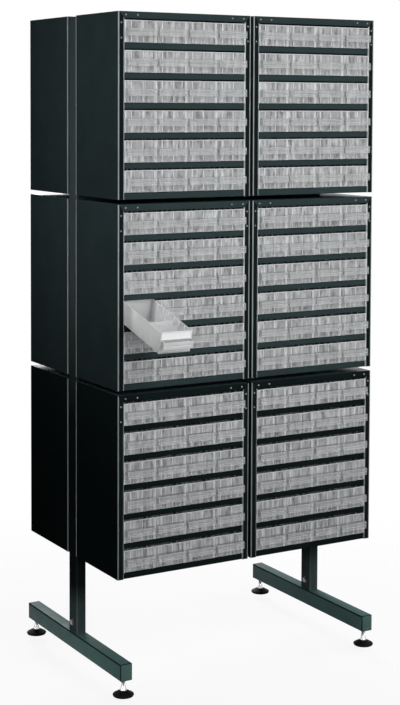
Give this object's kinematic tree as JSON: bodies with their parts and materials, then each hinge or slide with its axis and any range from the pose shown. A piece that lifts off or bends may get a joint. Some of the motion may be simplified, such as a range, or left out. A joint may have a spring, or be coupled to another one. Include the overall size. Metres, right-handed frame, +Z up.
{
  "type": "small parts drawer stand",
  "caption": "Free-standing double-sided stand of sheet steel cabinets full of clear pull-out drawers, on two uprights and foot bars with levelling glides; one drawer hangs open.",
  "frame": {"origin": "on the floor, in the middle of the part's bounding box as pictured, with one drawer open", "axes": "+Z up, the front cabinets face -Y, +X to the right as seen from the front"},
  "size_m": [0.742, 0.7008, 1.592],
  "materials": {
    "case_paint": "near-black green, satin",
    "frame_paint": "dark grey-green, satin",
    "clear_plastic": "clear moulded polystyrene",
    "bright_steel": "zinc plated",
    "black_plastic": "black"
  },
  "bodies": {
    "stand": {"upright_left": "frame_paint", "upright_right": "frame_paint", "base_bar_left": "frame_paint", "base_bar_right": "frame_paint", "cross_rail_bottom": "frame_paint", "cross_rail_lower": "frame_paint", "cross_rail_upper": "frame_paint", "cross_rail_top": "frame_paint", "upright_bolt_left": "bright_steel", "upright_bolt_right": "bright_steel", "casing_lower_front_left": "case_paint", "casing_lower_front_right": "case_paint", "casing_lower_back_left": "case_paint", "casing_lower_back_right": "case_paint", "casing_middle_front_left": "case_paint", "casing_middle_front_right": "case_paint", "casing_middle_back_left": "case_paint", "casing_middle_back_right": "case_paint", "casing_upper_front_left": "case_paint", "casing_upper_front_right": "case_paint", "casing_upper_back_left": "case_paint", "casing_upper_back_right": "case_paint", "drawer_bank_lower_front_left": "clear_plastic", "drawer_bank_lower_front_right": "clear_plastic", "drawer_bank_lower_back_left": "clear_plastic", "drawer_bank_lower_back_right": "clear_plastic", "drawer_bank_middle_front_left": "clear_plastic", "drawer_bank_middle_front_right": "clear_plastic", "drawer_bank_middle_back_left": "clear_plastic", "drawer_bank_middle_back_right": "clear_plastic", "drawer_bank_upper_front_left": "clear_plastic", "drawer_bank_upper_front_right": "clear_plastic", "drawer_bank_upper_back_left": "clear_plastic", "drawer_bank_upper_back_right": "clear_plastic"},
    "drawer_row1_col1": {"drawer_row1_col1": "clear_plastic"},
    "drawer_row1_col2": {"drawer_row1_col2": "clear_plastic"},
    "drawer_row1_col3": {"drawer_row1_col3": "clear_plastic"},
    "drawer_row1_col4": {"drawer_row1_col4": "clear_plastic"},
    "drawer_row2_col1": {"drawer_row2_col1": "clear_plastic"},
    "drawer_row2_col2": {"drawer_row2_col2": "clear_plastic"},
    "drawer_row2_col3": {"drawer_row2_col3": "clear_plastic"},
    "drawer_row2_col4": {"drawer_row2_col4": "clear_plastic"},
    "drawer_row3_col1": {"drawer_row3_col1": "clear_plastic"},
    "drawer_row3_col2": {"drawer_row3_col2": "clear_plastic"},
    "drawer_row3_col3": {"drawer_row3_col3": "clear_plastic"},
    "drawer_row3_col4": {"drawer_row3_col4": "clear_plastic"},
    "shelf_edge_rod": {"shelf_edge_rod": "case_paint"},
    "drawer_row4_col1": {"drawer_row4_col1": "clear_plastic"},
    "drawer_row4_col2": {"drawer_row4_col2": "clear_plastic"},
    "drawer_row4_col3": {"drawer_row4_col3": "clear_plastic"},
    "drawer_row4_col4": {"drawer_row4_col4": "clear_plastic"},
    "glide_pad_front_left": {"glide_pad_front_left": "black_plastic"},
    "glide_spindle_front_left": {"glide_spindle_front_left": "bright_steel"},
    "glide_pad_front_right": {"glide_pad_front_right": "black_plastic"},
    "glide_spindle_front_right": {"glide_spindle_front_right": "bright_steel"},
    "glide_pad_back_left": {"glide_pad_back_left": "black_plastic"},
    "glide_spindle_back_left": {"glide_spindle_back_left": "bright_steel"},
    "glide_pad_back_right": {"glide_pad_back_right": "black_plastic"},
    "glide_spindle_back_right": {"glide_spindle_back_right": "bright_steel"}
  },
  "joints": [
    {"name": "drawer_row1_col1_slide", "type": "slide", "parent": "stand", "child": "drawer_row1_col1", "axis": [0, -1, 0], "range_m": [0, 0.168]},
    {"name": "drawer_row1_col2_slide", "type": "slide", "parent": "stand", "child": "drawer_row1_col2", "axis": [0, -1, 0], "range_m": [0, 0.168]},
    {"name": "drawer_row1_col3_slide", "type": "slide", "parent": "stand", "child": "drawer_row1_col3", "axis": [0, -1, 0], "range_m": [0, 0.168]},
    {"name": "drawer_row1_col4_slide", "type": "slide", "parent": "stand", "child": "drawer_row1_col4", "axis": [0, -1, 0], "range_m": [0, 0.168]},
    {"name": "drawer_row2_col1_slide", "type": "slide", "parent": "stand", "child": "drawer_row2_col1", "axis": [0, -1, 0], "range_m": [0, 0.168]},
    {"name": "drawer_row2_col2_slide", "type": "slide", "parent": "stand", "child": "drawer_row2_col2", "axis": [0, -1, 0], "range_m": [0, 0.168]},
    {"name": "drawer_row2_col3_slide", "type": "slide", "parent": "stand", "child": "drawer_row2_col3", "axis": [0, -1, 0], "range_m": [0, 0.168]},
    {"name": "drawer_row2_col4_slide", "type": "slide", "parent": "stand", "child": "drawer_row2_col4", "axis": [0, -1, 0], "range_m": [0, 0.168]},
    {"name": "drawer_row3_col1_slide", "type": "slide", "parent": "stand", "child": "drawer_row3_col1", "axis": [0, -1, 0], "range_m": [0, 0.168]},
    {"name": "drawer_row3_col2_slide", "type": "slide", "parent": "stand", "child": "drawer_row3_col2", "axis": [0, -1, 0], "range_m": [0, 0.168]},
    {"name": "drawer_row3_col3_slide", "type": "slide", "parent": "stand", "child": "drawer_row3_col3", "axis": [0, -1, 0], "range_m": [0, 0.168]},
    {"name": "drawer_row3_col4_slide", "type": "slide", "parent": "stand", "child": "drawer_row3_col4", "axis": [0, -1, 0], "range_m": [0, 0.168]},
    {"name": "drawer_row4_col1_tilt", "type": "hinge", "parent": "stand", "child": "shelf_edge_rod", "pos_m": [-0.30438, -0.16163, 0.868], "axis": [1, 0, 0], "range_deg": [-15.25, 0]},
    {"name": "drawer_row4_col1_slide", "type": "slide", "parent": "shelf_edge_rod", "child": "drawer_row4_col1", "axis": [0, -0.9648, -0.263], "range_m": [-0.168, 0]},
    {"name": "drawer_row4_col2_slide", "type": "slide", "parent": "stand", "child": "drawer_row4_col2", "axis": [0, -1, 0], "range_m": [0, 0.168]},
    {"name": "drawer_row4_col3_slide", "type": "slide", "parent": "stand", "child": "drawer_row4_col3", "axis": [0, -1, 0], "range_m": [0, 0.168]},
    {"name": "drawer_row4_col4_slide", "type": "slide", "parent": "stand", "child": "drawer_row4_col4", "axis": [0, -1, 0], "range_m": [0, 0.168]},
    {"name": "glide_front_left_lift", "type": "slide", "parent": "stand", "child": "glide_pad_front_left", "axis": [0, 0, -1], "range_m": [0, 0.015]},
    {"name": "glide_front_left_turn", "type": "hinge", "parent": "glide_pad_front_left", "child": "glide_spindle_front_left", "pos_m": [-0.346, -0.16463, 0.02], "axis": [0, 0, -1], "range_deg": [0, 3600]},
    {"name": "glide_front_right_lift", "type": "slide", "parent": "stand", "child": "glide_pad_front_right", "axis": [0, 0, -1], "range_m": [0, 0.015]},
    {"name": "glide_front_right_turn", "type": "hinge", "parent": "glide_pad_front_right", "child": "glide_spindle_front_right", "pos_m": [0.346, -0.16463, 0.02], "axis": [0, 0, -1], "range_deg": [0, 3600]},
    {"name": "glide_back_left_lift", "type": "slide", "parent": "stand", "child": "glide_pad_back_left", "axis": [0, 0, -1], "range_m": [0, 0.015]},
    {"name": "glide_back_left_turn", "type": "hinge", "parent": "glide_pad_back_left", "child": "glide_spindle_back_left", "pos_m": [-0.346, 0.32537, 0.02], "axis": [0, 0, -1], "range_deg": [0, 3600]},
    {"name": "glide_back_right_lift", "type": "slide", "parent": "stand", "child": "glide_pad_back_right", "axis": [0, 0, -1], "range_m": [0, 0.015]},
    {"name": "glide_back_right_turn", "type": "hinge", "parent": "glide_pad_back_right", "child": "glide_spindle_back_right", "pos_m": [0.346, 0.32537, 0.02], "axis": [0, 0, -1], "range_deg": [0, 3600]}
  ],
  "couplings": [
    {"joint": "drawer_row4_col1_tilt", "follows": "drawer_row4_col1_slide", "rad_per_m": 1.5843},
    {"joint": "glide_front_left_turn", "follows": "glide_front_left_lift", "rad_per_m": 4188.8},
    {"joint": "glide_front_right_turn", "follows": "glide_front_right_lift", "rad_per_m": 4188.8},
    {"joint": "glide_back_left_turn", "follows": "glide_back_left_lift", "rad_per_m": 4188.8},
    {"joint": "glide_back_right_turn", "follows": "glide_back_right_lift", "rad_per_m": 4188.8}
  ]
}
